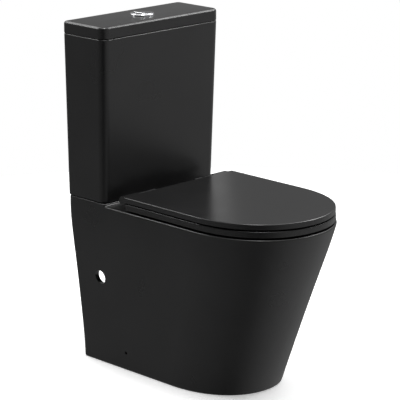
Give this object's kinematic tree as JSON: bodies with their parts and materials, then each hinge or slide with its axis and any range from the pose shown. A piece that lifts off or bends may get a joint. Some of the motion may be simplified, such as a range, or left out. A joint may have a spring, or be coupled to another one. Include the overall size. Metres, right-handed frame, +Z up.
{
  "type": "close coupled toilet",
  "caption": "Close coupled toilet with a skirted back-to-wall D-shaped pan, a slim box cistern with a flat lid, a round dual flush button and a thin hinged seat and lid.",
  "frame": {"origin": "on the floor, at the middle of the footprint from the pan's nose to the wall", "axes": "+Z up, -Y towards the pan's nose, +Y towards the wall, +X to the right seen from the front"},
  "size_m": [0.38, 0.6398, 0.8445],
  "materials": {
    "satin_black_ceramic": "satin black glaze",
    "black_seat_plastic": "satin black moulded",
    "chrome": "polished chrome plate",
    "white_plastic": "moulded white",
    "blue_plastic": "moulded blue",
    "black_rubber": "soft moulded rubber",
    "grey_buffer_rubber": "soft moulded rubber",
    "stainless_steel": "stainless steel",
    "black_hinge_plastic": "satin black moulded"
  },
  "bodies": {
    "root": {"pan_deck": "satin_black_ceramic", "pan_skirt": "satin_black_ceramic", "pan_bowl": "satin_black_ceramic", "pan_sump": "satin_black_ceramic", "pan_trapway": "satin_black_ceramic", "pan_flushway": "satin_black_ceramic", "cistern_tank": "satin_black_ceramic", "flush_valve_base": "white_plastic", "flush_valve_tower": "white_plastic", "flush_valve_bridge": "white_plastic", "fill_valve_body": "white_plastic", "fill_valve_cap": "white_plastic", "flush_valve_back_nut": "blue_plastic", "fill_valve_locknut": "blue_plastic", "lid_rest_pads": "black_rubber", "cistern_seating_pads": "black_rubber", "flush_valve_washer": "black_rubber", "coupling_gasket": "black_rubber", "fill_valve_washer": "black_rubber", "coupling_rubber_washers": "black_rubber", "seat_fixing_washers": "black_rubber", "lever_pin": "stainless_steel", "float_arm_pin": "stainless_steel", "coupling_bolts": "stainless_steel", "coupling_steel_washers": "stainless_steel", "hinge_pin_left": "stainless_steel", "hinge_pin_right": "stainless_steel", "seat_fixing_bolts": "stainless_steel", "hinge_post_left": "black_hinge_plastic", "hinge_post_right": "black_hinge_plastic", "hinge_base_plates": "black_hinge_plastic", "coupling_wing_nuts": "black_hinge_plastic", "seat_fixing_nuts": "black_hinge_plastic"},
    "tank_cover": {"cistern_lid": "satin_black_ceramic", "button_bezel": "chrome", "button_guide": "white_plastic", "button_locknut": "white_plastic", "button_spring_full": "stainless_steel", "button_spring_half": "stainless_steel"},
    "button_full": {"flush_button_full": "chrome", "push_rod_full": "white_plastic"},
    "button_half": {"flush_button_half": "chrome", "push_rod_half": "white_plastic"},
    "flush_lift": {"overflow_tube": "white_plastic", "flush_seal": "black_rubber", "flush_valve_float": "blue_plastic"},
    "flush_lever": {"flush_lever": "white_plastic"},
    "float": {"fill_valve_float": "blue_plastic"},
    "float_arm": {"float_arm": "white_plastic"},
    "seat": {"seat_ring": "black_seat_plastic", "seat_damper": "black_hinge_plastic", "seat_buffers": "grey_buffer_rubber"},
    "seat_lid": {"seat_lid": "black_seat_plastic", "lid_damper": "black_hinge_plastic", "lid_buffers": "grey_buffer_rubber"}
  },
  "joints": [
    {"name": "cover_lift", "type": "slide", "parent": "root", "child": "tank_cover", "axis": [0, 0, 1], "range_m": [0, 0.15]},
    {"name": "full_button_press", "type": "slide", "parent": "tank_cover", "child": "button_full", "axis": [0, 0, -1], "range_m": [0, 0.006], "stiffness_N_per_m": 800, "springref_m": -0.004, "deforming": ["button_spring_full"]},
    {"name": "half_button_press", "type": "slide", "parent": "tank_cover", "child": "button_half", "axis": [0, 0, -1], "range_m": [0, 0.006], "stiffness_N_per_m": 800, "springref_m": -0.004, "deforming": ["button_spring_half"]},
    {"name": "flush_valve_lift", "type": "slide", "parent": "root", "child": "flush_lift", "axis": [0, 0, 1], "range_m": [0, 0.0181]},
    {"name": "flush_lever_turn", "type": "hinge", "parent": "root", "child": "flush_lever", "pos_m": [0, 0.264, 0.713], "axis": [0, 1, 0], "range_deg": [0, 50.2]},
    {"name": "float_rise", "type": "slide", "parent": "root", "child": "float", "axis": [0, 0, 1], "range_m": [0, 0.014]},
    {"name": "float_arm_turn", "type": "hinge", "parent": "root", "child": "float_arm", "pos_m": [-0.133, 0.25, 0.722], "axis": [0, -1, 0], "range_deg": [0, 29.5]},
    {"name": "seat_hinge", "type": "hinge", "parent": "root", "child": "seat", "pos_m": [0, 0.137, 0.434], "axis": [1, 0, 0], "range_deg": [-93, 0]},
    {"name": "lid_hinge", "type": "hinge", "parent": "seat", "child": "seat_lid", "pos_m": [0, 0.137, 0.434], "axis": [-1, 0, 0], "range_deg": [0, 93]}
  ],
  "couplings": [
    {"joint": "flush_valve_lift", "follows": "full_button_press", "ratio": 3},
    {"joint": "flush_lever_turn", "follows": "full_button_press", "rad_per_m": 145.4},
    {"joint": "float_arm_turn", "follows": "float_rise", "rad_per_m": 36.2}
  ]
}
